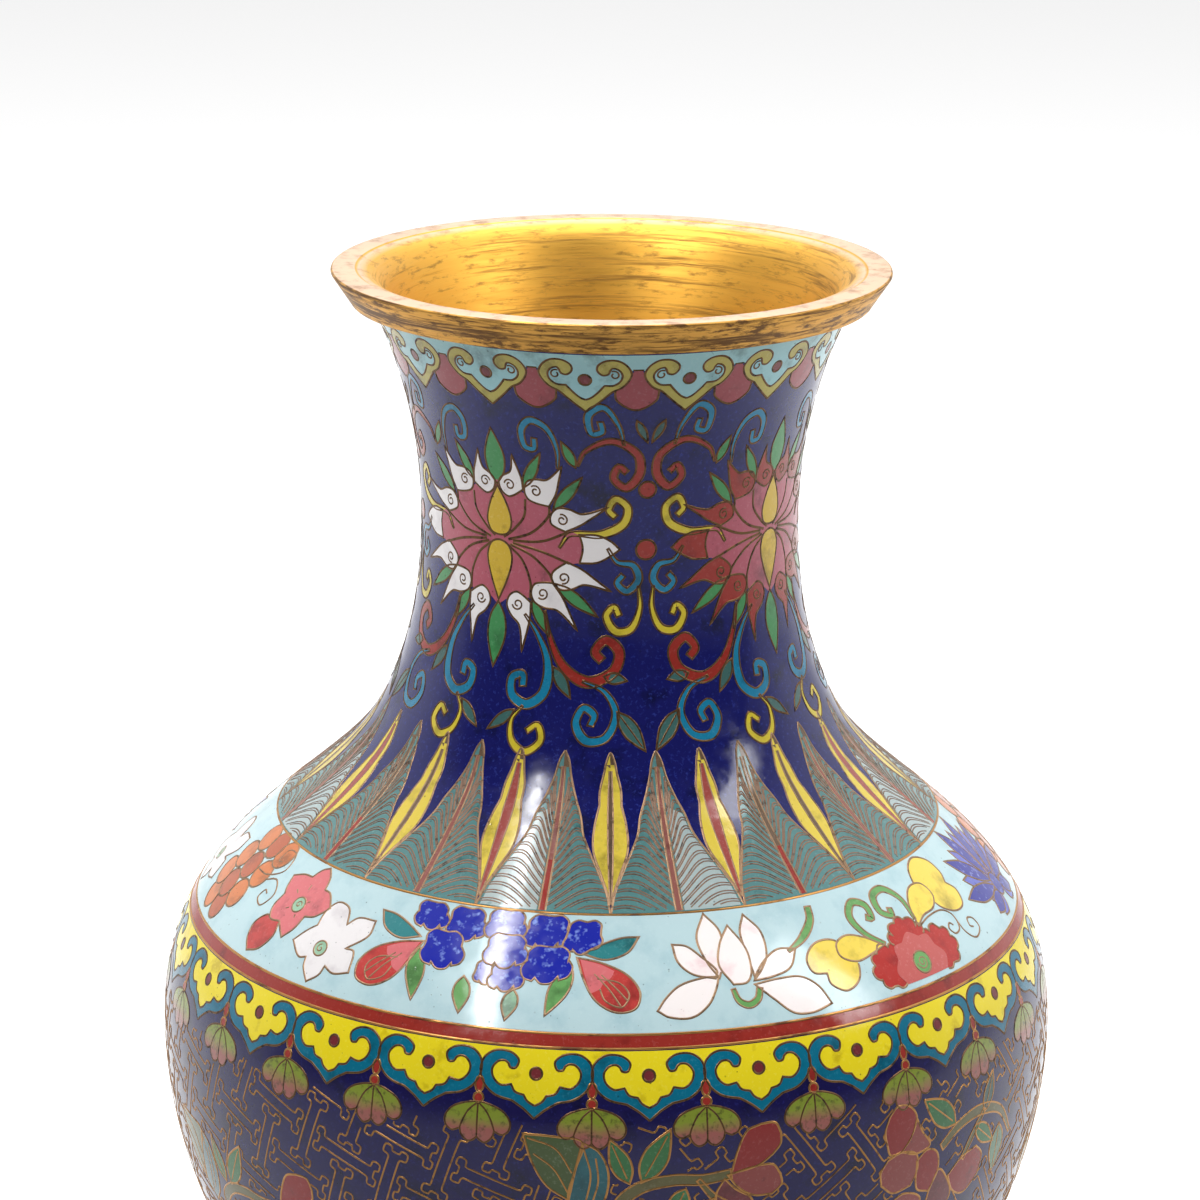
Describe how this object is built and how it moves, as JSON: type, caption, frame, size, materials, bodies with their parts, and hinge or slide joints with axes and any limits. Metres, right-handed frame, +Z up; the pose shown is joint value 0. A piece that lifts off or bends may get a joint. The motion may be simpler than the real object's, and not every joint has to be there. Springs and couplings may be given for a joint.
{
  "type": "cloisonne vase",
  "caption": "Tall baluster vase with a flared gilt lip, a narrow neck, a round belly and a gilt foot ring, covered in bands of wired enamel.",
  "frame": {"origin": "centre of the resting face, on the vase's axis", "axes": "+Z up along the vase's axis; -Y towards the viewer; +X to the viewer's right"},
  "size_m": [0.1576, 0.1576, 0.3],
  "materials": {
    "gilt_copper": "polished gilding, worn to dark copper in streaks",
    "raised_copper": "hammered copper, bare",
    "braze_alloy": "silver braze",
    "cloison_wire": "dull coppery gold wire",
    "enamel_cobalt": "glossy enamel with fine pits",
    "enamel_pale_blue": "glossy enamel with fine pits",
    "enamel_teal": "glossy enamel with fine pits",
    "enamel_turquoise": "glossy enamel with fine pits",
    "enamel_yellow": "glossy enamel with fine pits",
    "enamel_olive": "glossy enamel with fine pits",
    "enamel_white": "glossy enamel with fine pits",
    "enamel_pink": "glossy enamel with fine pits",
    "enamel_red": "glossy enamel with fine pits",
    "enamel_green": "glossy enamel with fine pits",
    "enamel_orange": "glossy enamel with fine pits",
    "enamel_blue": "glossy enamel with fine pits"
  },
  "bodies": {
    "root": {"base_disc": "gilt_copper", "foot_ring": "gilt_copper", "foot_shell": "raised_copper", "bowl_shell": "raised_copper", "shoulder_shell": "raised_copper", "neck_shell": "gilt_copper", "lip_ring": "gilt_copper", "braze_foot": "braze_alloy", "braze_belly": "braze_alloy", "braze_neck": "braze_alloy", "collar_enamel": "enamel_pale_blue", "neck_enamel": "enamel_cobalt", "leaf_enamel": "enamel_teal", "floral_enamel": "enamel_pale_blue", "red_line_upper": "enamel_red", "top_lappet_enamel": "enamel_yellow", "belly_enamel": "enamel_cobalt", "low_lappet_enamel": "enamel_yellow", "red_line_lower": "enamel_red", "low_leaf_enamel": "enamel_teal", "waist_enamel": "enamel_cobalt", "heel_enamel": "enamel_pale_blue", "wire_lip": "gilt_copper", "wire_shoulder": "gilt_copper", "wire_red_top": "gilt_copper", "wire_red_bottom": "gilt_copper", "wire_low_top": "gilt_copper", "wire_low_bottom": "gilt_copper", "wire_heel": "gilt_copper", "wire_foot": "gilt_copper"}
  },
  "joints": []
}
